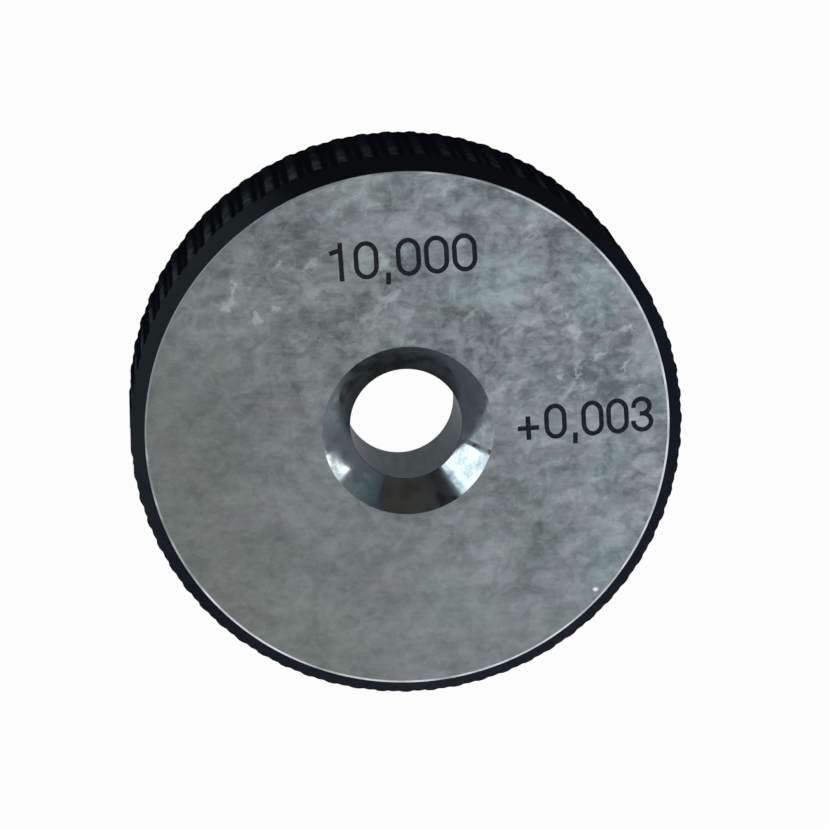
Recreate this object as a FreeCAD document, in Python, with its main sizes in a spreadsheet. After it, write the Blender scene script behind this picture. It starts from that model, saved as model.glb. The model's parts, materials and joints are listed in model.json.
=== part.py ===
import FreeCAD, Part
import Sketcher
import math
import os

# Setting ring gauge: one turned, hardened and ground steel ring.
# The bore stands upright on Z. The back face lies on z = 0 and the marked face looks up.
# All lengths are in millimetres, all angles in degrees.

NODE = "setting_ring"

# Each size is set here once, with its cell's alias and what it measures.
SIZES = [
    ("outside_diameter", 49.2, "over the crests of the knurl"),
    ("thickness", 15.0, "from face to face"),
    ("bore_diameter", 10.003, "nominal 10,000 with the deviation +0,003"),
    ("countersink_diameter", 15.3, "mouth of the lead-in cone, in each face"),
    ("countersink_angle", 90.0, "included angle of the lead-in cone"),
    ("rim_chamfer", 1.4, "leg of the 45 degree chamfer between face and knurl"),
    ("edge_break", 0.15, "fine bevel where the lapped face meets the rim chamfer"),
    ("tooth_count", 67, "full teeth round the rim, each followed by a low ridge"),
    ("knurl_depth", 0.3, "from the crest of a tooth to the bottom of a groove"),
    ("crest_land", 0.45, "width left on the crest of a tooth"),
    ("groove_spacing", 1.0, "between the two grooves beside a low ridge"),
    ("ridge_height", 0.2, "low ridge above the bottom of its grooves"),
    ("tool_overrun", 0.3, "how far the groove's outline reaches past the crests"),
]

# Vertex numbers in a sketch: a line has a start and an end.
START, END = range(1, 3)
# Geometry numbers of the sketch's own axes, and the vertex of its origin.
X_AXIS, ORIGIN = range(-1, 2, 2)

# Two lengths this near to each other are taken as equal.
NEAR = 0.0001


def make_sheet(doc):
    """Write the driving dimensions into a spreadsheet, one alias for each."""
    sheet = doc.addObject("Spreadsheet::Sheet", "sizes")
    for row, (alias, value, meaning) in enumerate(SIZES, start=1):
        sheet.set(f"A{row}", alias)
        sheet.set(f"B{row}", str(value))
        sheet.set(f"C{row}", meaning)
        sheet.setAlias(f"B{row}", alias)
    doc.recompute()
    return sheet


def new_sketch(body, name, role):
    """Add a sketch to the body, flat on the origin plane that has this role."""
    sketch = body.newObject("Sketcher::SketchObject", name)
    plane = next(item for item in body.Origin.OriginFeatures if item.Role == role)
    sketch.AttachmentSupport = (plane, [""])
    sketch.MapMode = "FlatFace"
    return sketch


def draw_outline(sketch, corners):
    """Draw a closed outline through the corners: line n runs from corner n to corner n + 1."""
    count = len(corners)
    for number, corner in enumerate(corners):
        following = corners[(number + 1) % count]
        start = FreeCAD.Vector(corner[0], corner[1], 0)
        end = FreeCAD.Vector(following[0], following[1], 0)
        sketch.addGeometry(Part.LineSegment(start, end), False)
    for number in range(count):
        joint = Sketcher.Constraint("Coincident", number, END, (number + 1) % count, START)
        sketch.addConstraint(joint)


def relate(sketch, kind, *places):
    """Add a geometric constraint, such as Vertical or Symmetric."""
    sketch.addConstraint(Sketcher.Constraint(kind, *places))


def measure(sketch, name, kind, places, formula):
    """Add a named dimension between two vertices, whose value follows the sheet."""
    span = sketch.getPoint(*places[2:]) - sketch.getPoint(*places[:2])
    drawn = span.x if kind == "DistanceX" else span.y
    number = sketch.addConstraint(Sketcher.Constraint(kind, *places, drawn))
    sketch.renameConstraint(number, name)
    sketch.setExpression(f"Constraints.{name}", formula)


def draw_section(body, size):
    """Half section of the ring: bore, lead-in cones, faces, rim chamfers and outside."""
    sketch = new_sketch(body, "ring_section", "XZ_Plane")
    bore = size["bore_diameter"] / 2
    mouth = size["countersink_diameter"] / 2
    outside = size["outside_diameter"] / 2
    face = outside - size["rim_chamfer"]
    cone = (mouth - bore) / math.tan(math.radians(size["countersink_angle"] / 2))
    top = size["thickness"]
    corners = [
        (bore, cone),
        (bore, top - cone),
        (mouth, top),
        (face, top),
        (outside, top - size["rim_chamfer"]),
        (outside, size["rim_chamfer"]),
        (face, 0),
        (mouth, 0),
    ]
    draw_outline(sketch, corners)
    bore_wall, top_cone, top_face, top_chamfer, rim_wall, back_chamfer, back_face = range(7)

    relate(sketch, "Vertical", bore_wall)
    relate(sketch, "Vertical", rim_wall)
    relate(sketch, "Horizontal", top_face)
    relate(sketch, "Horizontal", back_face)
    relate(sketch, "PointOnObject", back_face, START, X_AXIS)
    relate(sketch, "Vertical", top_face, START, back_face, END)
    relate(sketch, "Vertical", top_face, END, back_face, START)

    origin = (X_AXIS, ORIGIN)
    depth = (
        "(sizes.countersink_diameter - sizes.bore_diameter) / 2"
        " / tan(sizes.countersink_angle * 1 deg / 2)"
    )
    leg = "sizes.rim_chamfer"
    measure(sketch, "bore_radius", "DistanceX", (*origin, bore_wall, START), "sizes.bore_diameter / 2")
    measure(sketch, "mouth_radius", "DistanceX", (*origin, top_face, START), "sizes.countersink_diameter / 2")
    measure(sketch, "outside_radius", "DistanceX", (*origin, rim_wall, START), "sizes.outside_diameter / 2")
    measure(sketch, "ring_thickness", "DistanceY", (*origin, top_face, START), "sizes.thickness")
    measure(sketch, "top_cone_depth", "DistanceY", (top_cone, START, top_cone, END), depth)
    measure(sketch, "back_cone_depth", "DistanceY", (back_face, END, bore_wall, START), depth)
    measure(sketch, "chamfer_width", "DistanceX", (top_chamfer, START, top_chamfer, END), leg)
    measure(sketch, "top_chamfer_drop", "DistanceY", (top_chamfer, END, top_chamfer, START), leg)
    measure(sketch, "back_chamfer_rise", "DistanceY", (back_chamfer, END, back_chamfer, START), leg)
    return sketch


def turn_ring(body, section):
    """Turn the half section into the blank, about the bore's axis."""
    blank = body.newObject("PartDesign::Revolution", "turned_blank")
    blank.Profile = section
    blank.ReferenceAxis = (section, ["V_Axis"])
    blank.Angle = 360
    section.Visibility = False
    return blank


def rim_edges(shape, radius, heights):
    """Names of the circular edges of this radius at these heights."""
    names = []
    for number, edge in enumerate(shape.Edges, start=1):
        curve = edge.Curve
        if not isinstance(curve, Part.Circle):
            continue
        if abs(curve.Radius - radius) > NEAR:
            continue
        if min(abs(curve.Center.z - height) for height in heights) < NEAR:
            names.append(f"Edge{number}")
    return names


def break_rims(body, blank, size):
    """Break the two rims where the lapped faces meet the chamfers."""
    radius = size["outside_diameter"] / 2 - size["rim_chamfer"]
    names = rim_edges(blank.Shape, radius, (0, size["thickness"]))
    bevel = body.newObject("PartDesign::Chamfer", "broken_rims")
    bevel.Base = (blank, names)
    bevel.setExpression("Size", "sizes.edge_break")
    return bevel


def draw_groove_pair(body, size):
    """Outline of what the knurl takes out between two teeth: two grooves and a low ridge."""
    sketch = new_sketch(body, "groove_pair", "XY_Plane")
    crest = size["outside_diameter"] / 2
    floor = crest - size["knurl_depth"]
    overrun = crest + size["tool_overrun"]
    gap = (math.pi * size["outside_diameter"] / size["tooth_count"] - size["crest_land"]) / 2
    groove = size["groove_spacing"] / 2
    corners = [
        (overrun, gap),
        (crest, gap),
        (floor, groove),
        (floor + size["ridge_height"], 0),
        (floor, -groove),
        (crest, -gap),
        (overrun, -gap),
    ]
    draw_outline(sketch, corners)
    upper_wall, upper_flank, upper_slope, lower_slope, lower_flank, lower_wall = range(6)

    relate(sketch, "Horizontal", upper_wall)
    relate(sketch, "PointOnObject", lower_slope, START, X_AXIS)
    relate(sketch, "Symmetric", upper_wall, START, lower_wall, END, X_AXIS)
    relate(sketch, "Symmetric", upper_flank, START, lower_flank, END, X_AXIS)
    relate(sketch, "Symmetric", upper_slope, START, lower_slope, END, X_AXIS)

    origin = (X_AXIS, ORIGIN)
    gap_width = "pi * sizes.outside_diameter / sizes.tooth_count - sizes.crest_land"
    measure(sketch, "crest_radius", "DistanceX", (*origin, upper_flank, START), "sizes.outside_diameter / 2")
    measure(sketch, "overrun", "DistanceX", (upper_wall, END, upper_wall, START), "sizes.tool_overrun")
    measure(sketch, "groove_depth", "DistanceX", (upper_flank, END, upper_flank, START), "sizes.knurl_depth")
    measure(sketch, "ridge_rise", "DistanceX", (upper_slope, START, upper_slope, END), "sizes.ridge_height")
    measure(sketch, "gap_between_crests", "DistanceY", (lower_flank, END, upper_flank, START), gap_width)
    measure(sketch, "groove_to_groove", "DistanceY", (lower_slope, END, upper_slope, START), "sizes.groove_spacing")
    return sketch


def knurl_rim(body, outline):
    """Cut one pair of grooves along the rim and repeat it round the ring."""
    cut = body.newObject("PartDesign::Pocket", "groove_cut")
    cut.Profile = outline
    cut.Type = "ThroughAll"
    cut.Reversed = True
    outline.Visibility = False
    pattern = body.newObject("PartDesign::PolarPattern", "straight_knurl")
    pattern.Originals = [cut]
    pattern.Axis = (outline, ["N_Axis"])
    pattern.Angle = 360
    pattern.setExpression("Occurrences", "sizes.tooth_count")
    body.Tip = pattern
    return cut, pattern


def removed_share(before, after):
    """Share of the volume that a cut took away."""
    return 1 - after.Shape.Volume / before.Shape.Volume


def check_document(doc):
    """Stop with a message if any object failed to build."""
    for item in doc.Objects:
        if "Invalid" in item.State or "Error" in item.State:
            raise RuntimeError(f"{item.Name} did not build: {item.State}")


def check_shape(body):
    """Stop with a message if the finished solid is missing, open or not one piece."""
    shape = body.Shape
    if shape.isNull() or not shape.isValid():
        raise RuntimeError(f"{body.Label} has no valid shape")
    if len(shape.Solids) != 1:
        raise RuntimeError(f"{body.Label} has {len(shape.Solids)} solids")


def build_ring(doc, size):
    """Model the ring as one body: turned blank, broken rims, straight knurl."""
    body = doc.addObject("PartDesign::Body", NODE)
    body.Label = NODE
    section = draw_section(body, size)
    doc.recompute()
    blank = turn_ring(body, section)
    doc.recompute()
    bevel = break_rims(body, blank, size)
    doc.recompute()
    outline = draw_groove_pair(body, size)
    doc.recompute()
    cut, pattern = knurl_rim(body, outline)
    doc.recompute()
    one = removed_share(bevel, cut)
    every = removed_share(bevel, pattern)
    if one <= 0 or abs(every / one - size["tooth_count"]) > 0.01 * size["tooth_count"]:
        raise RuntimeError("the knurl's grooves did not cut the rim")
    return body


def main():
    doc = FreeCAD.newDocument("setting_ring_gauge")
    make_sheet(doc)
    size = {alias: value for alias, value, meaning in SIZES}
    body = build_ring(doc, size)
    check_document(doc)
    check_shape(body)
    os.makedirs("parts", exist_ok=True)
    body.Shape.exportStep(f"parts/{body.Label}.step")
    box = body.Shape.BoundBox
    print(f"{body.Label}: {box.XLength:.2f} x {box.YLength:.2f} x {box.ZLength:.2f} mm,"
          f" volume {body.Shape.Volume:.1f} mm3, {len(body.Shape.Faces)} faces")


main()
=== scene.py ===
import json
import math
import random

import bpy
from mathutils import Matrix, Vector


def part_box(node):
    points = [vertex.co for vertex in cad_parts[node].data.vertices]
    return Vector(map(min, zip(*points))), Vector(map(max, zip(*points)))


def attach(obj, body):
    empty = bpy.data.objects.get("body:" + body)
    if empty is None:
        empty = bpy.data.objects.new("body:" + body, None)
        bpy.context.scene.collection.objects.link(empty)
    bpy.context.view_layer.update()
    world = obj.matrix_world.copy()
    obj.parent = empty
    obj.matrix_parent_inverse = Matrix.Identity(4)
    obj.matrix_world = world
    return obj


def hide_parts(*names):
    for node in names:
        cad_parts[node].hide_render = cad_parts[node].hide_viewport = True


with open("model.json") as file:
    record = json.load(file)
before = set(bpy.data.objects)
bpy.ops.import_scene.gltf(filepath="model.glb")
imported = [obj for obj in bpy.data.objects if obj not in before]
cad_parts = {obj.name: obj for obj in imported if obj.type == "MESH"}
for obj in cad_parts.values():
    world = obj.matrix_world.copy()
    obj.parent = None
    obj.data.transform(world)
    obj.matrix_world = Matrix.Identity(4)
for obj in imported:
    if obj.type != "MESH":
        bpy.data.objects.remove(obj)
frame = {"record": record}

bl_info = {
    "name": "Setting ring gauge",
    "version": (1, 0, 0),
    "blender": (4, 5, 0),
    "location": "View3D > Sidebar > Setting ring",
    "description": "Models a setting ring gauge with its knurl, numbers, finishes and stage",
    "category": "Object",
}

# The ring lies on its back face. Its bore stands upright on Z, and the marked face looks up.
NODE = "setting_ring"
RING = "ring"
LOW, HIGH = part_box(NODE)
BORE = next(mount for mount in frame["record"]["mounts"] if mount["name"] == "gauging_bore")
MM = 0.001

# The places of the ring's finishes among its material slots.
FACE, RIM, CHAMFER, KNURL, LEAD_IN, BORE_WALL, NUMBER = range(7)

# Wiped smears on the marked face. Each has its place across and up from the bore, its half
# length and its half width, all in mm, and its angle in degrees.
SMEARS = (
    (17.4, 5.4, 1.3, 0.42, 30),
    (19.6, 4.2, 0.9, 0.26, 50),
    (15.2, 4.0, 1.0, 0.26, 52),
    (14.0, 3.7, 0.7, 0.24, -45),
    (20.0, 7.7, 0.5, 0.42, 20),
    (14.7, 9.4, 0.5, 0.42, 80),
    (15.0, 7.8, 1.0, 0.9, 10),
    (-15.1, 12.6, 1.1, 0.8, 10),
    (-14.6, 13.9, 1.1, 0.3, 70),
    (-10.8, 12.0, 0.75, 0.42, -10),
    (-12.5, 11.2, 0.7, 0.45, 0),
    (-10.4, 15.9, 0.5, 0.3, 30),
)


def length(name, description, default):
    """A property that holds a length in metres."""
    return bpy.props.FloatProperty(name=name, description=description, default=default,
                                   min=0.0, precision=6, unit="LENGTH", subtype="DISTANCE")


def offset(name, description, default):
    """A property that holds a place to either side of the bore, in metres."""
    return bpy.props.FloatProperty(name=name, description=description, default=default,
                                   precision=6, unit="LENGTH", subtype="DISTANCE")


def angle(name, description, degrees):
    """A property that holds an angle."""
    return bpy.props.FloatProperty(name=name, description=description,
                                   default=math.radians(degrees), subtype="ANGLE")


def linear(hex_colour):
    """Turn an sRGB hex colour into linear red, green and blue."""
    levels = [int(hex_colour[place:place + 2], 16) / 255 for place in (1, 3, 5)]
    return tuple(level / 12.92 if level <= 0.04045 else ((level + 0.055) / 1.055) ** 2.4
                 for level in levels)


def colour(name, description, hex_colour):
    """A property that holds a colour."""
    return bpy.props.FloatVectorProperty(name=name, description=description, size=3,
                                         default=linear(hex_colour), min=0.0, max=1.0,
                                         subtype="COLOR")


def direction(bearing, rise=0.0):
    """The unit vector at this bearing from +X and this rise above level, both in degrees."""
    turned, risen = math.radians(bearing), math.radians(rise)
    return (math.cos(turned) * math.cos(risen), math.sin(turned) * math.cos(risen),
            math.sin(risen))


class RingSizes(bpy.types.PropertyGroup):
    """Driving sizes of the turned and knurled ring."""

    outside_diameter: length("Outside diameter", "Over the crests of the knurl",
                             round(HIGH.y - LOW.y, 4))
    thickness: length("Thickness", "From the back face to the marked face",
                      round(HIGH.z - LOW.z, 4))
    bore_diameter: length("Bore diameter", "Gauging size of the bore",
                          2 * BORE["dims"]["r_mm"] * MM)
    bore_length: length("Bore length", "Straight part of the bore between its lead-in cones",
                        BORE["dims"]["length_mm"] * MM)
    rim_chamfer: length("Rim chamfer", "Leg of the chamfer between face and knurl", 1.4 * MM)
    rim_break: length("Rim break", "Rounding where a lapped face meets its chamfer", 0.11 * MM)
    bore_break: length("Bore break", "Fine rounding at both ends of a lead-in cone", 0.04 * MM)
    tooth_count: bpy.props.IntProperty(
        name="Teeth", description="Full teeth round the rim, each followed by a low ridge",
        default=67, min=3)
    knurl_depth: length("Knurl depth", "From a crest to the bottom of a groove", 0.18 * MM)
    crest_land: length("Crest land", "Width of a tooth's crest", 0.45 * MM)
    groove_spacing: length("Groove spacing", "Between the grooves beside a low ridge", 1.0 * MM)
    ridge_height: length("Ridge height", "Low ridge above its grooves", 0.1 * MM)
    tooth_rounding: length("Tooth rounding", "How far a tooth's corners are rounded", 0.06 * MM)
    knurl_unevenness: length("Knurl unevenness", "Depth of the rolled knurl's flaws", 0.03 * MM)


class NumberSizes(bpy.types.PropertyGroup):
    """Sizes and places of the numbers etched into the marked face."""

    stroke: length("Stroke", "Width of a number's stroke", 0.45 * MM)
    depth: length("Depth", "How deep the numbers are etched", 0.05 * MM)
    nominal_height: length("Nominal height", "Height of the nominal size's digits", 3.45 * MM)
    nominal_width: length("Nominal width", "Width of a zero of the nominal size", 2.22 * MM)
    nominal_first: offset("Nominal first zero", "Its middle, across from the bore", -2.67 * MM)
    nominal_line: offset("Nominal line", "Foot of its digits, up from the bore", 13.92 * MM)
    nominal_one: length("Nominal one", "From the one to the first zero", 2.22 * MM)
    nominal_comma: length("Nominal comma", "From the first zero to the comma", 1.85 * MM)
    nominal_gap: length("Nominal gap", "From the first zero to the one past the comma", 3.72 * MM)
    nominal_step: length("Nominal step", "From one zero to the next past the comma", 2.47 * MM)
    deviation_height: length("Deviation height", "Height of the deviation's digits", 3.25 * MM)
    deviation_width: length("Deviation width", "Width of a zero of the deviation", 2.03 * MM)
    deviation_first: offset("Deviation first zero", "Its middle, across from the bore", 13.09 * MM)
    deviation_line: offset("Deviation line", "Foot of its digits, up from the bore", -1.84 * MM)
    deviation_plus: length("Deviation plus", "From the plus to the first zero", 2.44 * MM)
    deviation_comma: length("Deviation comma", "From the first zero to the comma", 1.69 * MM)
    deviation_gap: length("Deviation gap", "From the first zero to the one past the comma",
                          3.31 * MM)
    deviation_step: length("Deviation step", "From one digit to the next past the comma",
                           2.24 * MM)


class StageSizes(bpy.types.PropertyGroup):
    """Where the camera stands, and how the stage is lit."""

    distance: length("Camera distance", "From the marked face to the camera", 350 * MM)
    lean: angle("Camera lean", "Between the bore's axis and the line of sight", 14.14)
    bearing: angle("Camera bearing", "Where the camera leans to, from the top of the numbers", 13.5)
    roll: angle("Camera roll", "Turn about the line of sight", -17.8)
    aside: offset("Camera aside", "How far the camera is moved to its right", 0.54 * MM)
    above: offset("Camera above", "How far the camera is moved up its picture", 1.45 * MM)
    view_width: length("View width", "What the camera takes in at the marked face", 73.34 * MM)
    floor_colour: colour("Floor", "Pale floor and background", "#ffffff")


def clear_selection():
    """Leave edit mode and select nothing."""
    if bpy.context.object and bpy.context.object.mode != "OBJECT":
        bpy.ops.object.mode_set(mode="OBJECT")
    bpy.ops.object.select_all(action="DESELECT")


def choose(piece):
    """Make one piece the selected and active one."""
    clear_selection()
    piece.select_set(True)
    bpy.context.view_layer.objects.active = piece


def edit(piece, mode, chosen):
    """Enter edit mode on vertices, edges or faces, with those selected that pass the test."""
    choose(piece)
    bpy.ops.object.mode_set(mode="EDIT")
    bpy.ops.mesh.select_mode(type=mode)
    bpy.ops.mesh.select_all(action="DESELECT")
    bpy.ops.object.mode_set(mode="OBJECT")
    mesh = piece.data
    items = {"VERT": mesh.vertices, "EDGE": mesh.edges, "FACE": mesh.polygons}[mode]
    for item in items:
        item.select = chosen(mesh, item)
    bpy.ops.object.mode_set(mode="EDIT")


def done_editing():
    """Return to object mode."""
    bpy.ops.object.mode_set(mode="OBJECT")


def tidy(piece, gap):
    """Merge doubled vertices and turn all faces outwards."""
    edit(piece, "VERT", lambda mesh, vertex: True)
    bpy.ops.mesh.remove_doubles(threshold=gap)
    bpy.ops.mesh.normals_make_consistent(inside=False)
    done_editing()


def apply_modifier(piece, kind, **settings):
    """Add one modifier to the piece and apply it."""
    choose(piece)
    modifier = piece.modifiers.new(kind.lower(), kind)
    for name, value in settings.items():
        setattr(modifier, name, value)
    bpy.ops.object.modifier_apply(modifier=modifier.name)


def on_circle(mesh, edge, radius, height, near=0.002 * MM):
    """Whether both ends of an edge lie on this circle about the bore."""
    ends = [mesh.vertices[number].co for number in edge.vertices]
    return all(abs(end.xy.length - radius) < near and abs(end.z - height) < near for end in ends)


def turn(name, section, steps):
    """Turn a section about the bore: a circle is drawn out from corner to corner, then closed."""
    clear_selection()
    radius, height = section[0]
    bpy.ops.mesh.primitive_circle_add(vertices=steps, radius=radius, location=(0, 0, height))
    piece = bpy.context.object
    piece.name = name
    bpy.ops.object.transform_apply(location=True, rotation=True, scale=True)
    bpy.ops.object.mode_set(mode="EDIT")
    bpy.ops.mesh.select_all(action="SELECT")
    for (radius, height), (next_radius, next_height) in zip(section, section[1:]):
        bpy.ops.mesh.extrude_edges_move(
            TRANSFORM_OT_translate={"value": (0, 0, next_height - height)})
        widening = next_radius / radius
        bpy.ops.transform.resize(value=(widening, widening, 1), center_override=(0, 0, next_height))
    bpy.ops.mesh.select_all(action="DESELECT")
    bpy.ops.mesh.select_mode(type="EDGE")
    bpy.ops.mesh.select_non_manifold()
    bpy.ops.mesh.bridge_edge_loops()
    done_editing()
    tidy(piece, gap=0.0001 * MM)
    return piece


def turned_blank(size):
    """The turned ring before it is knurled, a little over size at the rim."""
    outside = size.outside_diameter / 2
    face = outside - size.rim_chamfer
    bore = size.bore_diameter / 2
    cone = (size.thickness - size.bore_length) / 2
    mouth = bore + cone
    top = size.thickness
    spare = 0.5 * MM
    steps = 8 * size.tooth_count
    section = [
        (bore, top - cone),
        (mouth, top),
        (face, top),
        (outside + spare, top - size.rim_chamfer - spare),
        (outside + spare, size.rim_chamfer + spare),
        (face, 0),
        (mouth, 0),
        (bore, cone),
    ]
    blank = turn(RING, section, steps)
    for radius, heights, rounding, rounds in (
            (bore, (cone, top - cone), size.bore_break, 2),
            (mouth, (0, top), size.bore_break, 2),
            (face, (0, top), size.rim_break, 3)):
        for height in heights:
            edit(blank, "EDGE", lambda mesh, edge: on_circle(mesh, edge, radius, height))
            bpy.ops.mesh.bevel(offset=rounding, offset_type="OFFSET", segments=rounds,
                               affect="EDGES")
            done_editing()
    return blank


def draw_line(name, places):
    """Draw an open line through these places, as a mesh of edges."""
    clear_selection()
    curve = bpy.data.curves.new(name, "CURVE")
    curve.dimensions = "3D"
    spline = curve.splines.new("POLY")
    spline.points.add(len(places) - 1)
    for point, place in zip(spline.points, places):
        point.co = (*place, 1)
    line = bpy.data.objects.new(name, curve)
    bpy.context.scene.collection.objects.link(line)
    choose(line)
    bpy.ops.object.convert(target="MESH")
    return bpy.context.object


def tooth_gap(size, crest, pitch):
    """Outline of one gap from tooth to tooth: two grooves with a low ridge between them."""
    floor = crest - size.knurl_depth
    gap = (pitch * crest - size.crest_land) / 2
    groove = size.groove_spacing / 2
    edge = math.sqrt(crest ** 2 - gap ** 2)
    middle = (crest * math.cos(pitch / 2), crest * math.sin(pitch / 2))
    corners = [
        (middle[0], -middle[1], 0),
        (edge, -gap, 0),
        (floor, -groove, 0),
        (floor + size.ridge_height, 0, 0),
        (floor, groove, 0),
        (edge, gap, 0),
        (middle[0], middle[1], 0),
    ]
    line = draw_line("tooth_gap", corners)
    edit(line, "VERT", lambda mesh, vertex: 0 < vertex.index < len(corners) - 1)
    bpy.ops.mesh.bevel(offset=size.tooth_rounding, affect="VERTICES", segments=4)
    done_editing()
    return line


def raise_bar(outline, low, high):
    """Raise a closed outline into a bar between two heights, and close both its ends."""
    edit(outline, "VERT", lambda mesh, vertex: True)
    bpy.ops.mesh.remove_doubles(threshold=0.002 * MM)
    bpy.ops.transform.translate(value=(0, 0, low))
    bpy.ops.mesh.extrude_edges_move(TRANSFORM_OT_translate={"value": (0, 0, high - low)})
    done_editing()
    near = 0.01 * MM
    for height in (low, high):
        edit(outline, "EDGE", lambda mesh, edge: all(
            abs(mesh.vertices[number].co.z - height) < near for number in edge.vertices))
        bpy.ops.mesh.edge_face_add()
        done_editing()
    tidy(outline, gap=0.001 * MM)


def knurl_tool(size):
    """A toothed bar of the ring's outline: one gap is drawn, then copied round the rim."""
    crest = size.outside_diameter / 2 - 0.01 * MM
    pitch = math.tau / size.tooth_count
    below_crest = crest - 0.03 * MM
    shallowest = 0.75
    play = 0.05 * MM
    line = tooth_gap(size, crest, pitch)
    dice = random.Random(5)
    gaps = []
    for number in range(size.tooth_count):
        copy = line.copy()
        copy.data = line.data.copy()
        bpy.context.scene.collection.objects.link(copy)
        depth_share = dice.uniform(shallowest, 1.0)
        sideways = dice.uniform(-play, play)
        edit(copy, "VERT", lambda mesh, vertex: vertex.co.xy.length < below_crest)
        bpy.ops.transform.resize(value=(depth_share, 1, 1), center_override=(crest, 0, 0))
        bpy.ops.transform.translate(value=(0, sideways, 0))
        done_editing()
        copy.data.transform(Matrix.Rotation(number * pitch, 4, "Z"))
        gaps.append(copy)
    clear_selection()
    bpy.data.objects.remove(line)
    for copy in gaps:
        copy.select_set(True)
    bar = gaps[0]
    bpy.context.view_layer.objects.active = bar
    bpy.ops.object.join()
    bar.name = "knurl_bar"
    spare = 1 * MM
    raise_bar(bar, -spare, size.thickness + spare)
    return bar


def cut(piece, tools, operation):
    """Cut the piece with these tools in one go, and put the tools away."""
    rack = bpy.data.collections.new("tools")
    for tool in tools:
        rack.objects.link(tool)
    apply_modifier(piece, "BOOLEAN", operation=operation, operand_type="COLLECTION",
                   collection=rack, solver="EXACT")
    bpy.data.collections.remove(rack)
    for tool in tools:
        mesh = tool.data
        bpy.data.objects.remove(tool)
        bpy.data.meshes.remove(mesh)


def roughen_knurl(ring, size):
    """Rows along the rim let the knurl's flaws push it in a little, and never out."""
    inner = size.outside_diameter / 2 - 1.4 * size.knurl_depth
    upright = 0.3
    rows = 12
    low = size.rim_chamfer + size.knurl_depth
    step = (size.thickness - 2 * low) / (rows - 1)
    for row in range(rows):
        edit(ring, "FACE", lambda mesh, face: face.center.xy.length > inner
             and abs(face.normal.z) < upright)
        bpy.ops.mesh.bisect(plane_co=(0, 0, low + row * step), plane_no=(0, 0, 1))
        done_editing()
    start = size.rim_chamfer - 0.01 * MM
    knurled = ring.vertex_groups.new(name="knurled")
    knurled.add([vertex.index for vertex in ring.data.vertices
                 if vertex.co.xy.length > inner
                 and start < vertex.co.z < size.thickness - start], 1.0, "REPLACE")
    flaws = bpy.data.textures.new("knurl_flaws", "CLOUDS")
    flaws.noise_scale = 0.9 * MM
    flaws.noise_depth = 2
    apply_modifier(ring, "DISPLACE", texture=flaws, texture_coords="LOCAL", direction="NORMAL",
                   vertex_group="knurled", mid_level=1.0, strength=size.knurl_unevenness)


def finish_of(face, size):
    """The finish that a face of the ring has, from its place and its lie."""
    bore = size.bore_diameter / 2
    cone = (size.thickness - size.bore_length) / 2
    rim = size.outside_diameter / 2 - size.rim_chamfer
    hair = 0.0005 * MM
    radius = face.center.xy.length
    from_end = min(face.center.z, size.thickness - face.center.z)
    # A face is level by 1 on the flats, 0.7 on cones and chamfers, and 0 on bore and knurl.
    level = abs(face.normal.z)
    flat = 0.99
    cone_most = 0.75
    chamfer_most, chamfer_least = 0.8, 0.6
    if radius < bore + 0.6 * size.bore_break and from_end > cone - size.bore_break:
        return BORE_WALL
    if radius < bore + cone + size.bore_break and level < flat:
        return LEAD_IN if level < cone_most else FACE
    below_rim = radius > rim - 2 * size.rim_break and from_end > 0.9 * size.rim_break
    if below_rim and level < chamfer_most:
        chamfered = level > chamfer_least and from_end < size.rim_chamfer + size.knurl_depth
        return CHAMFER if chamfered else KNURL
    if radius > rim - 1.2 * size.rim_break:
        return RIM
    return FACE if from_end < hair else NUMBER


def arc(centre, across, up, start, end, steps=24):
    """Places on an oval arc from one angle to another, in degrees."""
    turns = [math.radians(start + (end - start) * step / steps) for step in range(steps + 1)]
    return [(centre[0] + across * math.cos(turn), centre[1] + up * math.sin(turn))
            for turn in turns]


def zero(width, height, stroke):
    """A zero: two half ovals joined by straight sides."""
    across = (width - stroke) / 2
    middle = height / 2
    straight = 0.15 * height
    up = middle - stroke / 2 - straight
    line = (arc((0, middle + straight), across, up, 0, 180)
            + arc((0, middle - straight), across, up, 180, 360))
    return [(line, True)]


def one(width, height, stroke):
    """A one: a stem with a short flag below its top."""
    reach = 0.43 * width
    tip, root = 0.735 * height, 0.81 * height
    return [([(0, 0), (0, height)], False),
            ([(-reach, tip), (0, root)], False)]


def three(width, height, stroke):
    """A three: two open bowls that meet in a short bar, the lower one larger."""
    upper = (height - stroke) * 0.24
    lower = (height - stroke) / 2 - upper
    top = height - stroke / 2 - upper
    middle = top - upper
    left = -0.03 * width
    bar = 0.1 * width
    opening = 190
    return [(arc((left, top), 0.46 * width - stroke / 2, upper, opening, -90), False),
            ([(left - bar, middle), (left, middle)], False),
            (arc((left, middle - lower), width / 2 - stroke / 2, lower, 90, -opening), False)]


def plus(width, height, stroke):
    """A plus: two bars that cross above the line."""
    across = 0.47 * width
    rise = 0.33 * height
    middle = 0.366 * height
    return [([(-across, middle), (across, middle)], False),
            ([(0, middle - rise), (0, middle + rise)], False)]


def comma(width, height, stroke):
    """A comma: one short slanted stroke that hangs through the line."""
    slant = 0.07 * stroke
    above, below = 0.14 * height, 0.17 * height
    return [([(slant, above), (-slant, -below)], False)]


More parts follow.
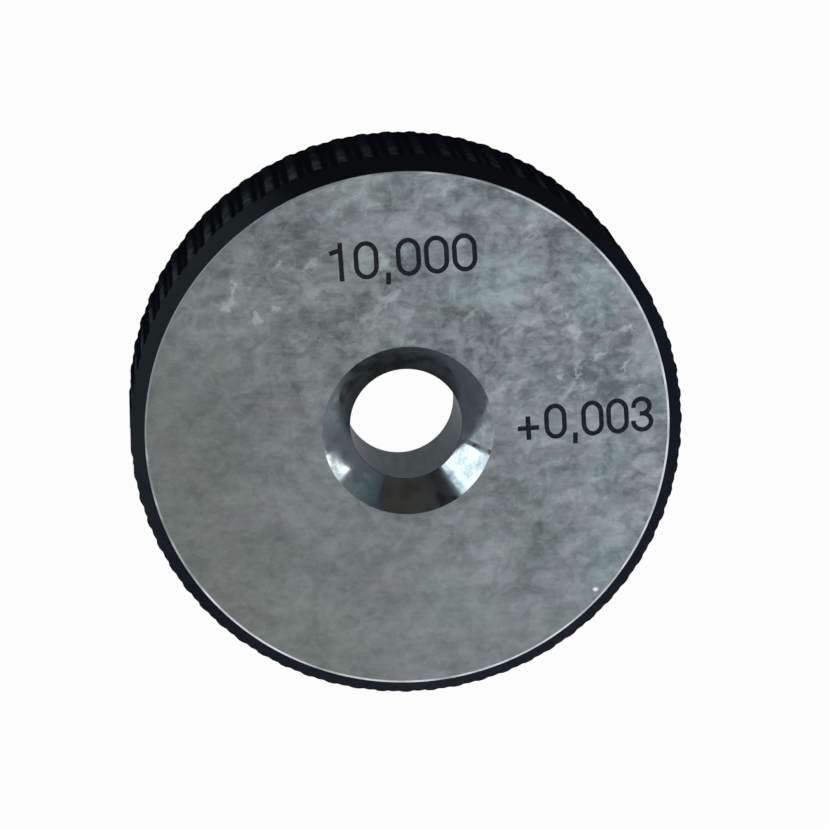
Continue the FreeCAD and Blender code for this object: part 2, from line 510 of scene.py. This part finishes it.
def stroke_tool(line, closed, size, place, top):
    """A flattened bar along one stroke of a number, lying in the face."""
    clear_selection()
    curve = bpy.data.curves.new("stroke", "CURVE")
    curve.dimensions = "3D"
    curve.bevel_depth = size.stroke / 2
    curve.bevel_resolution = 3
    curve.use_fill_caps = True
    spline = curve.splines.new("POLY")
    points = line[:-1] if closed else line
    spline.points.add(len(points) - 1)
    for point, (across, up) in zip(spline.points, points):
        point.co = (across, up, 0, 1)
    spline.use_cyclic_u = closed
    bar = bpy.data.objects.new("stroke", curve)
    bpy.context.scene.collection.objects.link(bar)
    choose(bar)
    bpy.ops.object.convert(target="MESH")
    bar = bpy.context.object
    # The bar stands a little proud of the face, so that its flank cuts the face cleanly.
    proud = 0.25 * size.depth
    flatten = (size.depth + proud) / (size.stroke / 2)
    bar.data.transform(Matrix.Translation((*place, top + proud))
                       @ Matrix.Diagonal((1, 1, flatten, 1)))
    tidy(bar, gap=0.0001 * MM)
    return bar


def number_tools(size, top):
    """Bars for every stroke of the two lines of numbers."""
    first = size.nominal_first
    second = first + size.nominal_gap
    nominal = [
        (one, first - size.nominal_one),
        (zero, first),
        (comma, first + size.nominal_comma),
        (zero, second),
        (zero, second + size.nominal_step),
        (zero, second + 2 * size.nominal_step),
    ]
    first = size.deviation_first
    second = first + size.deviation_gap
    deviation = [
        (plus, first - size.deviation_plus),
        (zero, first),
        (comma, first + size.deviation_comma),
        (zero, second),
        (zero, second + size.deviation_step),
        (three, second + 2 * size.deviation_step),
    ]
    bars = []
    for marks, up, width, height in (
            (nominal, size.nominal_line, size.nominal_width, size.nominal_height),
            (deviation, size.deviation_line, size.deviation_width, size.deviation_height)):
        for shape, across in marks:
            for line, closed in shape(width, height, size.stroke):
                bars.append(stroke_tool(line, closed, size, (across, up), top))
    return bars


def add_node(tree, kind, settings, inputs):
    """Add a node with its settings. An input takes a value, or a link from a node or a socket."""
    node = tree.nodes.new(kind)
    for name, value in settings.items():
        setattr(node, name, value)
    for name, value in inputs.items():
        taker = node.inputs[name] if isinstance(name, int) else next(
            socket for socket in node.inputs if socket.name == name and socket.enabled)
        if isinstance(value, bpy.types.Node):
            value = next(socket for socket in value.outputs if socket.enabled)
        if isinstance(value, bpy.types.NodeSocket):
            tree.links.new(value, taker)
        else:
            taker.default_value = value
    return node


def rgba(hex_colour):
    """A linear colour with full alpha, for a node's socket."""
    return (*linear(hex_colour), 1.0)


def scale_for(width):
    """A noise texture's scale for features about this wide, in metres."""
    return 0.7 / width


def new_finish(name):
    """An empty material, its node tree and the coordinates of the ring it is on."""
    material = bpy.data.materials.new(name)
    material.use_nodes = True
    tree = material.node_tree
    tree.nodes.clear()
    place = add_node(tree, "ShaderNodeTexCoord", {}, {}).outputs["Object"]
    return material, tree, place


def shaded(tree, inputs, relief=None, depth=0.0):
    """Finish a material with its shader, over a relief of this depth in metres."""
    if relief:
        inputs["Normal"] = add_node(tree, "ShaderNodeBump", {}, {"Distance": depth, "Height": relief})
    shader = add_node(tree, "ShaderNodeBsdfPrincipled", {}, inputs)
    add_node(tree, "ShaderNodeOutputMaterial", {}, {"Surface": shader})


def spot(tree, place, centre, reach, degrees=0.0):
    """One in the middle of a soft oval spot on the marked face, and nothing past its reach."""
    local = add_node(tree, "ShaderNodeMapping", {"vector_type": "TEXTURE"}, {
        "Vector": place, "Location": (*centre, HIGH.z),
        "Rotation": (0, 0, math.radians(degrees)), "Scale": (*reach, MM)})
    distance = add_node(tree, "ShaderNodeVectorMath", {"operation": "LENGTH"}, {0: local})
    return add_node(tree, "ShaderNodeMapRange", {"interpolation_type": "SMOOTHSTEP"}, {
        "Value": distance, "From Min": 1.0, "From Max": 0.3})


def stain_level(tree, place):
    """Clouds of stain about a middle level of 0.5, over the faint lay of lapping."""
    stretched = add_node(tree, "ShaderNodeMapping", {"vector_type": "TEXTURE"}, {
        "Vector": place, "Scale": (1.35, 1.0, 1.0)})
    clouds = add_node(tree, "ShaderNodeTexNoise", {}, {
        "Vector": stretched, "Scale": scale_for(1.9 * MM), "Detail": 7.0, "Roughness": 0.66,
        "Distortion": 0.3})
    drift = add_node(tree, "ShaderNodeTexNoise", {}, {
        "Vector": place, "Scale": scale_for(8 * MM), "Detail": 2.0})
    mottle = add_node(tree, "ShaderNodeTexNoise", {}, {
        "Vector": stretched, "Scale": scale_for(0.75 * MM), "Detail": 4.0, "Roughness": 0.6})
    along = add_node(tree, "ShaderNodeMapping", {"vector_type": "TEXTURE"}, {
        "Vector": place, "Rotation": (0, 0, math.radians(-4)), "Scale": (5.0, 1.0, 1.0)})
    lay = add_node(tree, "ShaderNodeTexNoise", {}, {
        "Vector": along, "Scale": scale_for(0.3 * MM), "Detail": 3.0, "Roughness": 0.6})
    level = add_node(tree, "ShaderNodeMath", {"operation": "MULTIPLY_ADD"}, {
        0: lay, 1: 0.12, 2: -0.06})
    for cloud, share in ((mottle, 0.24), (drift, 0.2), (clouds, 0.5)):
        level = add_node(tree, "ShaderNodeMath", {"operation": "MULTIPLY_ADD"}, {
            0: cloud, 1: share, 2: level})
    # Where a film of oil has dried, the stains have curling edges.
    film = add_node(tree, "ShaderNodeTexNoise", {}, {
        "Vector": place, "Scale": scale_for(1.3 * MM), "Detail": 5.0, "Roughness": 0.55,
        "Distortion": 1.2})
    film_step = add_node(tree, "ShaderNodeMapRange", {"interpolation_type": "SMOOTHSTEP"}, {
        "Value": film, "From Min": 0.47, "From Max": 0.53, "To Min": 0.0, "To Max": 0.05})
    return add_node(tree, "ShaderNodeMath", {"operation": "ADD"}, {0: level, 1: film_step})


def wiped_marks(tree, place, stained_side):
    """The share of pale metal where a cloth has wiped the face, and in one bright nick."""
    # A spot stands for each smear. It is drawn ragged, because its coordinates are led astray.
    ragged = add_node(tree, "ShaderNodeTexNoise", {}, {
        "Vector": place, "Scale": scale_for(0.7 * MM), "Detail": 4.0, "Roughness": 0.6})
    swing = 2.6 * MM
    pushed = add_node(tree, "ShaderNodeVectorMath", {"operation": "MULTIPLY_ADD"}, {
        0: ragged.outputs["Color"], 1: (swing, swing, 0.0), 2: place})
    astray = add_node(tree, "ShaderNodeVectorMath", {"operation": "SUBTRACT"}, {
        0: pushed, 1: (swing / 2, swing / 2, 0.0)})
    wiped = 0.0
    for across, up, half_length, half_width, degrees in SMEARS:
        centre = (across * MM, up * MM)
        reach = (half_length * MM, half_width * MM)
        wiped = add_node(tree, "ShaderNodeMath", {"operation": "MAXIMUM"}, {
            0: spot(tree, astray, centre, reach, degrees), 1: wiped})
    smear = add_node(tree, "ShaderNodeMath", {"operation": "MULTIPLY"}, {0: wiped, 1: 0.27})
    # Fainter smudges are scattered along the strokes of the cloth, where the stains are strong.
    cloth = add_node(tree, "ShaderNodeMapping", {"vector_type": "TEXTURE"}, {
        "Vector": place, "Rotation": (0, 0, math.radians(28)), "Scale": (1.9, 1.0, 1.0)})
    dabs = add_node(tree, "ShaderNodeTexNoise", {}, {
        "Vector": cloth, "Scale": scale_for(1.0 * MM), "Detail": 5.0, "Roughness": 0.62})
    dab_share = add_node(tree, "ShaderNodeMapRange", {}, {
        "Value": dabs, "From Min": 0.59, "From Max": 0.68, "To Max": 0.24})
    dab_place = add_node(tree, "ShaderNodeMapRange", {"interpolation_type": "SMOOTHSTEP"}, {
        "Value": stained_side, "From Min": -6 * MM, "From Max": 14 * MM})
    dab = add_node(tree, "ShaderNodeMath", {"operation": "MULTIPLY"}, {
        0: dab_share, 1: dab_place})
    nick = spot(tree, place, (15.8 * MM, -16.0 * MM), (0.34 * MM, 0.28 * MM))
    marks = add_node(tree, "ShaderNodeMath", {"operation": "MAXIMUM"}, {0: dab, 1: nick})
    return add_node(tree, "ShaderNodeMath", {"operation": "MAXIMUM"}, {0: marks, 1: smear})


def lapped_face():
    # Hardened tool steel lapped flat on a plate with loose grit: a dull grey metal. Oil, fingers
    # and thin oxide have left cloudy stains on it, and wiping has left pale smears.
    material, tree, place = new_finish("lapped_tool_steel")
    level = stain_level(tree, place)
    # The stains are strong above and to the right, and faint low on the left.
    stained_side = add_node(tree, "ShaderNodeVectorMath", {"operation": "DOT_PRODUCT"}, {
        0: place, 1: direction(55)})
    strength = add_node(tree, "ShaderNodeMapRange", {"interpolation_type": "SMOOTHSTEP"}, {
        "Value": stained_side, "From Min": -15 * MM, "From Max": 12 * MM,
        "To Min": 0.45, "To Max": 1.08})
    swing = add_node(tree, "ShaderNodeMath", {"operation": "SUBTRACT"}, {0: level, 1: 0.5})
    uneven = add_node(tree, "ShaderNodeMath", {"operation": "MULTIPLY_ADD"}, {
        0: swing, 1: strength, 2: 0.5})
    stain = add_node(tree, "ShaderNodeMapRange", {}, {
        "Value": uneven, "From Min": 0.38, "From Max": 0.62})
    steel = add_node(tree, "ShaderNodeMix", {"data_type": "RGBA"}, {
        "Factor": stain, "A": rgba("#6c7375"), "B": rgba("#a9b3b5")})
    # Some of the clouds are a little purple, others a little green.
    hue = add_node(tree, "ShaderNodeTexNoise", {}, {
        "Vector": place, "Scale": scale_for(3.4 * MM), "Detail": 4.0, "Roughness": 0.6})
    hue_share = add_node(tree, "ShaderNodeMapRange", {}, {
        "Value": hue, "From Min": 0.4, "From Max": 0.6})
    tint = add_node(tree, "ShaderNodeMix", {"data_type": "RGBA"}, {
        "Factor": hue_share, "A": rgba("#fffafe"), "B": rgba("#f5fdfa")})
    tinted = add_node(tree, "ShaderNodeMix", {"data_type": "RGBA", "blend_type": "MULTIPLY"}, {
        "Factor": 1.0, "A": steel, "B": tint})
    # Painted light: the face is brighter and bluer on the side of the deviation, and duller and
    # browner across from it.
    face_lit_side = add_node(tree, "ShaderNodeVectorMath", {"operation": "DOT_PRODUCT"}, {
        0: place, 1: direction(20)})
    face_light_share = add_node(tree, "ShaderNodeMapRange", {}, {
        "Value": face_lit_side, "From Min": -20 * MM, "From Max": 18 * MM})
    painted_face_light = add_node(tree, "ShaderNodeMix", {"data_type": "RGBA"}, {
        "Factor": face_light_share, "A": rgba("#dbd6d0"), "B": rgba("#fdfeff")})
    face_with_painted_light = add_node(tree, "ShaderNodeMix", {"data_type": "RGBA", "blend_type": "MULTIPLY"}, {
        "Factor": 1.0, "A": tinted, "B": painted_face_light})
    wiped = wiped_marks(tree, place, stained_side)
    seen = add_node(tree, "ShaderNodeMix", {"data_type": "RGBA"}, {
        "Factor": wiped, "A": face_with_painted_light, "B": rgba("#e6eeed")})
    rough = add_node(tree, "ShaderNodeMapRange", {}, {
        "Value": level, "From Min": 0.35, "From Max": 0.65, "To Min": 0.5, "To Max": 0.38})
    grain = add_node(tree, "ShaderNodeTexNoise", {}, {
        "Vector": place, "Scale": scale_for(0.16 * MM), "Detail": 2.0})
    shaded(tree, {"Base Color": seen, "Metallic": 1.0, "Roughness": rough},
           grain, 0.004 * MM)
    return material


def burnished_and_highlit_rim():
    # The same steel where handling has rubbed the edge of the face bright in patches, with a painted
    # highlight along the rounded edge that is least at its top.
    material, tree, place = new_finish("burnished_and_highlit_steel_edge")
    worn = add_node(tree, "ShaderNodeTexNoise", {}, {
        "Vector": place, "Scale": scale_for(2.0 * MM), "Detail": 3.0})
    # Painted highlight: the edge is paler on one side, and least at its top.
    side = add_node(tree, "ShaderNodeVectorMath", {"operation": "DOT_PRODUCT"}, {
        0: place, 1: direction(-40)})
    lit_side_share = add_node(tree, "ShaderNodeMapRange", {}, {
        "Value": side, "From Min": -22 * MM, "From Max": 0.0, "To Min": -0.3, "To Max": 0.1})
    worn_and_lit_share = add_node(tree, "ShaderNodeMath", {"operation": "ADD"}, {
        0: worn, 1: lit_side_share})
    share = add_node(tree, "ShaderNodeMapRange", {}, {
        "Value": worn_and_lit_share, "From Min": 0.3, "From Max": 0.65})
    steel = add_node(tree, "ShaderNodeMix", {"data_type": "RGBA"}, {
        "Factor": share, "A": rgba("#858d8f"), "B": rgba("#d6dcdd")})
    rough = add_node(tree, "ShaderNodeMapRange", {}, {
        "Value": worn, "From Min": 0.3, "From Max": 0.7, "To Min": 0.5, "To Max": 0.32})
    shaded(tree, {"Base Color": steel, "Metallic": 1.0, "Roughness": rough})
    return material


def blackened_chamfer():
    # Turned chamfer under a black oxide film: a smooth satin black with grey patches of dust. Painted
    # light greys it on the left, and painted shade makes it blackest above the numbers.
    material, tree, place = new_finish("black_oxide_turned")
    patches = add_node(tree, "ShaderNodeTexNoise", {}, {
        "Vector": place, "Scale": scale_for(1.4 * MM), "Detail": 4.0, "Roughness": 0.6})
    left = add_node(tree, "ShaderNodeVectorMath", {"operation": "DOT_PRODUCT"}, {
        0: place, 1: direction(155)})
    top = add_node(tree, "ShaderNodeVectorMath", {"operation": "DOT_PRODUCT"}, {
        0: place, 1: direction(76)})
    patch_share = add_node(tree, "ShaderNodeMapRange", {}, {
        "Value": patches, "From Min": 0.35, "From Max": 0.65, "To Min": -0.15, "To Max": 0.15})
    # Painted light on the left, and painted shade above the numbers.
    lit_left_share = add_node(tree, "ShaderNodeMapRange", {"interpolation_type": "SMOOTHSTEP"}, {
        "Value": left, "From Min": 12 * MM, "From Max": 22 * MM})
    shaded_top_share = add_node(tree, "ShaderNodeMapRange", {"interpolation_type": "SMOOTHSTEP"}, {
        "Value": top, "From Min": 16 * MM, "From Max": 21 * MM})
    share = add_node(tree, "ShaderNodeMath", {"operation": "ADD", "use_clamp": True}, {
        0: lit_left_share, 1: patch_share})
    dust_and_lit_grey = add_node(tree, "ShaderNodeMix", {"data_type": "RGBA"}, {
        "Factor": share, "A": rgba("#0e1420"), "B": rgba("#262b2d")})
    oxide_with_painted_light = add_node(tree, "ShaderNodeMix", {"data_type": "RGBA"}, {
        "Factor": shaded_top_share, "A": dust_and_lit_grey, "B": rgba("#0d1012")})
    grain = add_node(tree, "ShaderNodeTexNoise", {}, {
        "Vector": place, "Scale": scale_for(0.2 * MM), "Detail": 2.0})
    rough = add_node(tree, "ShaderNodeMapRange", {}, {
        "Value": patches, "From Min": 0.3, "From Max": 0.7, "To Min": 0.5, "To Max": 0.4})
    shaded(tree, {"Base Color": oxide_with_painted_light, "Specular IOR Level": 0.02, "Roughness": rough},
           grain, 0.003 * MM)
    return material


def blackened_knurl():
    # Rolled knurl under the same film. The grooves hold the black, and the crests are a little paler:
    # partly rubbed, and partly painted shade in the grooves and painted light on the crests in place
    # of the teeth's own shading. The crests are paler towards the marked face, and painted light
    # makes them paler on the left.
    material, tree, place = new_finish("black_oxide_knurled")
    flat = add_node(tree, "ShaderNodeVectorMath", {"operation": "MULTIPLY"}, {
        0: place, 1: (1.0, 1.0, 0.0)})
    radius = add_node(tree, "ShaderNodeVectorMath", {"operation": "LENGTH"}, {0: flat})
    crest = (HIGH.y - LOW.y) / 2
    # Painted shade in the grooves and painted light on the crests, with some real rubbing.
    proud = add_node(tree, "ShaderNodeMapRange", {"interpolation_type": "SMOOTHSTEP"}, {
        "Value": radius, "From Min": crest - 0.14 * MM, "From Max": crest - 0.02 * MM})
    height = add_node(tree, "ShaderNodeSeparateXYZ", {}, {0: place}).outputs["Z"]
    end_share = add_node(tree, "ShaderNodeMapRange", {"interpolation_type": "SMOOTHSTEP"}, {
        "Value": height, "From Min": 5 * MM, "From Max": 13.4 * MM, "To Min": 0.15})
    # Painted light: the knurl is paler on the left.
    side = add_node(tree, "ShaderNodeVectorMath", {"operation": "DOT_PRODUCT"}, {
        0: place, 1: direction(165)})
    lit_side_share = add_node(tree, "ShaderNodeMapRange", {"interpolation_type": "SMOOTHSTEP"}, {
        "Value": side, "From Min": 2 * MM, "From Max": 19 * MM, "To Min": 0.35, "To Max": 1.0})
    patches = add_node(tree, "ShaderNodeTexNoise", {}, {
        "Vector": place, "Scale": scale_for(0.8 * MM), "Detail": 3.0})
    patch_share = add_node(tree, "ShaderNodeMapRange", {}, {
        "Value": patches, "From Min": 0.35, "From Max": 0.6, "To Min": 0.3, "To Max": 1.0})
    crest_wear_and_shade = add_node(tree, "ShaderNodeMath", {"operation": "MULTIPLY"}, {
        0: proud, 1: end_share})
    crest_wear_and_light = add_node(tree, "ShaderNodeMath", {"operation": "MULTIPLY"}, {
        0: crest_wear_and_shade, 1: lit_side_share})
    share = add_node(tree, "ShaderNodeMath", {"operation": "MULTIPLY"}, {
        0: crest_wear_and_light, 1: patch_share})
    oxide_with_painted_light = add_node(tree, "ShaderNodeMix", {"data_type": "RGBA"}, {
        "Factor": share, "A": rgba("#0d0f13"), "B": rgba("#414849")})
    # A few bright specks where the film has chipped off a crest.
    specks = add_node(tree, "ShaderNodeTexNoise", {}, {
        "Vector": place, "Scale": scale_for(0.5 * MM), "Detail": 2.0})
    chipped = add_node(tree, "ShaderNodeMapRange", {}, {
        "Value": specks, "From Min": 0.71, "From Max": 0.75, "To Max": 0.5})
    chipped_crest = add_node(tree, "ShaderNodeMath", {"operation": "MULTIPLY"}, {
        0: chipped, 1: proud})
    seen = add_node(tree, "ShaderNodeMix", {"data_type": "RGBA"}, {
        "Factor": chipped_crest, "A": oxide_with_painted_light, "B": rgba("#7f8789")})
    shaded(tree, {"Base Color": seen, "Specular IOR Level": 0.0, "Roughness": 0.7},
           patches, 0.01 * MM)
    return material


def polished_lead_in():
    # Lead-in cone turned and polished to a mirror, with a grey haze where fingers and plugs
    # have touched it.
    material, tree, place = new_finish("polished_steel")
    haze = add_node(tree, "ShaderNodeTexNoise", {}, {
        "Vector": place, "Scale": scale_for(1.1 * MM), "Detail": 5.0, "Roughness": 0.62})
    share = add_node(tree, "ShaderNodeMapRange", {}, {
        "Value": haze, "From Min": 0.36, "From Max": 0.56})
    steel = add_node(tree, "ShaderNodeMix", {"data_type": "RGBA"}, {
        "Factor": share, "A": rgba("#8d9598"), "B": rgba("#b4bcbd")})
    rough = add_node(tree, "ShaderNodeMapRange", {}, {
        "Value": haze, "From Min": 0.36, "From Max": 0.6, "To Min": 0.18, "To Max": 0.06})
    grease = add_node(tree, "ShaderNodeMapRange", {}, {
        "Value": haze, "From Min": 0.36, "From Max": 0.6, "To Min": 0.84, "To Max": 0.96})
    shaded(tree, {"Base Color": steel, "Metallic": grease, "Roughness": rough},
           haze, 0.0015 * MM)
    return material


def lapped_bore():
    # Gauging bore ground and lapped to size: a fine satin, its lay along the bore. Its dark grey base
    # and dim Specular Tint are painted shade inside the hole.
    material, tree, place = new_finish("lapped_bore_steel")
    long = add_node(tree, "ShaderNodeMapping", {"vector_type": "TEXTURE"}, {
        "Vector": place, "Scale": (1.0, 1.0, 5.0)})
    lay = add_node(tree, "ShaderNodeTexNoise", {}, {
        "Vector": long, "Scale": scale_for(0.5 * MM), "Detail": 3.0})
    share = add_node(tree, "ShaderNodeMapRange", {}, {
        "Value": lay, "From Min": 0.3, "From Max": 0.7})
    steel = add_node(tree, "ShaderNodeMix", {"data_type": "RGBA"}, {
        "Factor": share, "A": rgba("#575c5f"), "B": rgba("#656a6d")})
    shaded(tree, {"Base Color": steel, "Metallic": 1.0, "Specular Tint": rgba("#a4a6a7"),
                  "Roughness": 0.35})
    return material


def etched_number():
    # Numbers etched into the lapped steel and darkened: matt, nearly black, a little uneven.
    material, tree, place = new_finish("etched_black")
    bite = add_node(tree, "ShaderNodeTexNoise", {}, {
        "Vector": place, "Scale": scale_for(0.15 * MM), "Detail": 3.0, "Roughness": 0.6})
    share = add_node(tree, "ShaderNodeMapRange", {}, {
        "Value": bite, "From Min": 0.35, "From Max": 0.7})
    black = add_node(tree, "ShaderNodeMix", {"data_type": "RGBA"}, {
        "Factor": share, "A": rgba("#1a1e21"), "B": rgba("#31373a")})
    shaded(tree, {"Base Color": black, "Specular IOR Level": 0.1, "Roughness": 0.7},
           bite, 0.006 * MM)
    return material


class SETTING_RING_OT_make_ring(bpy.types.Operator):
    """Turn, knurl and number the ring, and give each surface its finish"""

    bl_idname = "setting_ring.make_ring"
    bl_label = "Make the ring"

    def execute(self, context):
        size = context.scene.ring_sizes
        numbers = context.scene.number_sizes
        ring = turned_blank(size)
        cut(ring, number_tools(numbers, size.thickness), "DIFFERENCE")
        cut(ring, [knurl_tool(size)], "INTERSECT")
        tidy(ring, gap=0.0005 * MM)
        roughen_knurl(ring, size)
        ring.data.materials.clear()
        for finish in (lapped_face, burnished_and_highlit_rim, blackened_chamfer, blackened_knurl,
                       polished_lead_in, lapped_bore, etched_number):
            ring.data.materials.append(finish())
        for face in ring.data.polygons:
            face.material_index = finish_of(face, size)
        choose(ring)
        bpy.ops.object.shade_smooth_by_angle(angle=math.radians(6))
        if not ring.data.polygons:
            raise RuntimeError("the ring has no faces")
        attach(ring, "root")
        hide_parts(NODE)
        return {"FINISHED"}


def soft_lamp(name, bearing, height, distance, width, tall, power, tint):
    """A rectangular softbox that stands beside the ring and faces it."""
    clear_selection()
    place = Vector(direction(bearing)) * distance + Vector((0, 0, height))
    bpy.ops.object.light_add(type="AREA", location=place)
    lamp = bpy.context.object
    lamp.name = name
    lamp.data.shape = "RECTANGLE"
    lamp.data.size = width
    lamp.data.size_y = tall
    lamp.data.energy = power
    lamp.data.color = linear(tint)
    lamp.visible_camera = False
    lamp.rotation_euler = (Vector((0, 0, HIGH.z)) - place).to_track_quat("-Z", "Y").to_euler()


def card(name, bearing, rise, distance, width, tall, shades):
    """A card outside the picture that glows with painted bands of light and shade along its width, as
    a painted reflection for the polished steel to mirror.
    """
    clear_selection()
    toward = Vector(direction(bearing, rise))
    place = Vector((0, 0, HIGH.z)) + toward * distance
    bpy.ops.mesh.primitive_plane_add(size=1, location=place)
    board = bpy.context.object
    board.name = name
    board.scale = (width, tall, 1)
    board.rotation_euler = (-toward).to_track_quat("Z", "Y").to_euler()
    material = bpy.data.materials.new(name + "_painted_reflection")
    material.use_nodes = True
    tree = material.node_tree
    tree.nodes.clear()
    local = add_node(tree, "ShaderNodeTexCoord", {}, {}).outputs["Object"]
    along = add_node(tree, "ShaderNodeSeparateXYZ", {}, {0: local})
    share = add_node(tree, "ShaderNodeMath", {"operation": "ADD"}, {0: along, 1: 0.5})
    bands = add_node(tree, "ShaderNodeValToRGB", {}, {"Fac": share})
    ramp = bands.color_ramp
    while len(ramp.elements) < len(shades):
        ramp.elements.new(0.5)
    for stop, (position, shade) in zip(ramp.elements, shades):
        stop.position = position
        stop.color = rgba(shade)
    # The card glows but is no lamp: only glossy rays see it, as a painted reflection.
    glow = add_node(tree, "ShaderNodeEmission", {}, {"Color": bands})
    add_node(tree, "ShaderNodeOutputMaterial", {}, {"Surface": glow})
    board.data.materials.append(material)
    board.visible_camera = False
    board.visible_diffuse = False
    board.visible_shadow = False


def shown_to(tree):
    """One for the rays that show the background: camera, glossy and transmission rays."""
    path = add_node(tree, "ShaderNodeLightPath", {}, {})
    plain = add_node(tree, "ShaderNodeMath", {"operation": "MAXIMUM"}, {
        0: path.outputs["Is Camera Ray"], 1: path.outputs["Is Glossy Ray"]})
    return add_node(tree, "ShaderNodeMath", {"operation": "MAXIMUM"}, {
        0: plain, 1: path.outputs["Is Transmission Ray"]})


def pale_floor(stage):
    """A wide pale floor a hair below the ring, which keeps a faint shadow."""
    clear_selection()
    hair = 0.02 * MM
    bpy.ops.mesh.primitive_circle_add(vertices=96, radius=1.5, fill_type="NGON",
                                      location=(0, 0, -hair))
    floor = bpy.context.object
    floor.name = "floor"
    material = bpy.data.materials.new("pale_floor")
    material.use_nodes = True
    tree = material.node_tree
    tree.nodes.clear()
    white = (*stage.floor_colour, 1.0)
    glow_share = 0.97
    paper = add_node(tree, "ShaderNodeBsdfDiffuse", {}, {"Color": rgba("#f4f5f5")})
    glow = add_node(tree, "ShaderNodeEmission", {}, {"Color": white, "Strength": 1.0})
    share = add_node(tree, "ShaderNodeMath", {"operation": "MULTIPLY"}, {
        0: shown_to(tree), 1: glow_share})
    both = add_node(tree, "ShaderNodeMixShader", {}, {0: share, 1: paper, 2: glow})
    add_node(tree, "ShaderNodeOutputMaterial", {}, {"Surface": both})
    floor.data.materials.append(material)


def pale_world(stage):
    """White where it is seen, and a soft even light on everything else."""
    world = bpy.data.worlds.new("studio")
    bpy.context.scene.world = world
    world.use_nodes = True
    tree = world.node_tree
    tree.nodes.clear()
    light = add_node(tree, "ShaderNodeBackground", {}, {
        "Color": rgba("#eef2f4"), "Strength": 0.6})
    seen = add_node(tree, "ShaderNodeBackground", {}, {
        "Color": (*stage.floor_colour, 1.0), "Strength": 1.0})
    both = add_node(tree, "ShaderNodeMixShader", {}, {0: shown_to(tree), 1: light, 2: seen})
    add_node(tree, "ShaderNodeOutputWorld", {}, {"Surface": both})


def hang_lights():
    """Two soft lamps, and the cards that only the polished steel mirrors."""
    soft_lamp("lamp_left", bearing=152, height=0.14, distance=0.6, width=0.47, tall=0.14,
              power=0.3, tint="#e2f2ff")
    soft_lamp("lamp_right", bearing=8, height=0.05, distance=0.6, width=0.21, tall=0.07,
              power=0.11, tint="#fbffff")
    card("card_back", bearing=82.5, rise=13, distance=0.5, width=1.3, tall=0.36, shades=(
        (0.0, "#a0a8a8"), (0.13, "#727f83"), (0.16, "#161416"), (0.29, "#121011"),
        (0.33, "#322d28"), (0.45, "#39322b"), (0.6, "#3e3932"), (0.69, "#303030"),
        (0.71, "#46575a"), (0.78, "#56686a"), (0.88, "#6f7c7c"), (1.0, "#8d9696")))
    card("card_side", bearing=26, rise=8, distance=0.5, width=0.11, tall=0.2,
         shades=((0.0, "#717d7d"), (1.0, "#8a9494")))
    card("card_front", bearing=198, rise=3, distance=0.5, width=0.4, tall=0.16,
         shades=((0.0, "#c4cbcc"), (1.0, "#d6dbdb")))
    card("card_notch", bearing=172, rise=7, distance=0.42, width=0.035, tall=0.05,
         shades=((0.0, "#0c0d0f"), (1.0, "#101214")))
    card("card_above", bearing=148, rise=71, distance=0.33, width=0.2, tall=0.22,
         shades=((0.0, "#6f7478"), (1.0, "#7d8387")))


def place_camera(stage):
    """A camera that looks down on the marked face, and takes in the view's width there."""
    clear_selection()
    bpy.ops.object.camera_add()
    camera = bpy.context.object
    camera.name = "camera"
    turned = (Matrix.Rotation(stage.bearing, 4, "Z") @ Matrix.Rotation(-stage.lean, 4, "X")
              @ Matrix.Rotation(stage.roll, 4, "Z"))
    stand = Vector((stage.aside, stage.above, stage.distance))
    place = Vector((0, 0, HIGH.z)) + turned @ stand
    camera.matrix_world = Matrix.Translation(place) @ turned
    camera.data.sensor_width = 36
    camera.data.lens = camera.data.sensor_width * stage.distance / stage.view_width
    camera.data.clip_start = 0.01
    camera.data.clip_end = 10
    bpy.context.scene.camera = camera


class SETTING_RING_OT_set_stage(bpy.types.Operator):
    """Lay the pale floor, hang the soft lamps and place the camera"""

    bl_idname = "setting_ring.set_stage"
    bl_label = "Set the stage"

    def execute(self, context):
        stage = context.scene.stage_sizes
        pale_floor(stage)
        pale_world(stage)
        hang_lights()
        place_camera(stage)
        context.scene.view_settings.view_transform = "Standard"
        return {"FINISHED"}


class SETTING_RING_PT_panel(bpy.types.Panel):
    """Sizes and steps of the setting ring gauge"""

    bl_label = "Setting ring gauge"
    bl_idname = "SETTING_RING_PT_panel"
    bl_space_type = "VIEW_3D"
    bl_region_type = "UI"
    bl_category = "Setting ring"

    def draw(self, context):
        scene = context.scene
        for group in (scene.ring_sizes, scene.number_sizes, scene.stage_sizes):
            box = self.layout.box()
            for name in group.__annotations__:
                box.prop(group, name)
        self.layout.operator(SETTING_RING_OT_make_ring.bl_idname)
        self.layout.operator(SETTING_RING_OT_set_stage.bl_idname)


CLASSES = (RingSizes, NumberSizes, StageSizes, SETTING_RING_OT_make_ring,
           SETTING_RING_OT_set_stage, SETTING_RING_PT_panel)


def register():
    """Make the classes and the scene's sizes known."""
    for kind in CLASSES:
        bpy.utils.register_class(kind)
    bpy.types.Scene.ring_sizes = bpy.props.PointerProperty(type=RingSizes)
    bpy.types.Scene.number_sizes = bpy.props.PointerProperty(type=NumberSizes)
    bpy.types.Scene.stage_sizes = bpy.props.PointerProperty(type=StageSizes)


def unregister():
    """Take back what register has made known."""
    del bpy.types.Scene.stage_sizes
    del bpy.types.Scene.number_sizes
    del bpy.types.Scene.ring_sizes
    for kind in reversed(CLASSES):
        bpy.utils.unregister_class(kind)


def main():
    """Build the ring and its stage."""
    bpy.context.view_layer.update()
    register()
    bpy.ops.setting_ring.make_ring()
    bpy.ops.setting_ring.set_stage()
    bpy.context.view_layer.update()


if __name__ == "__main__":
    main()
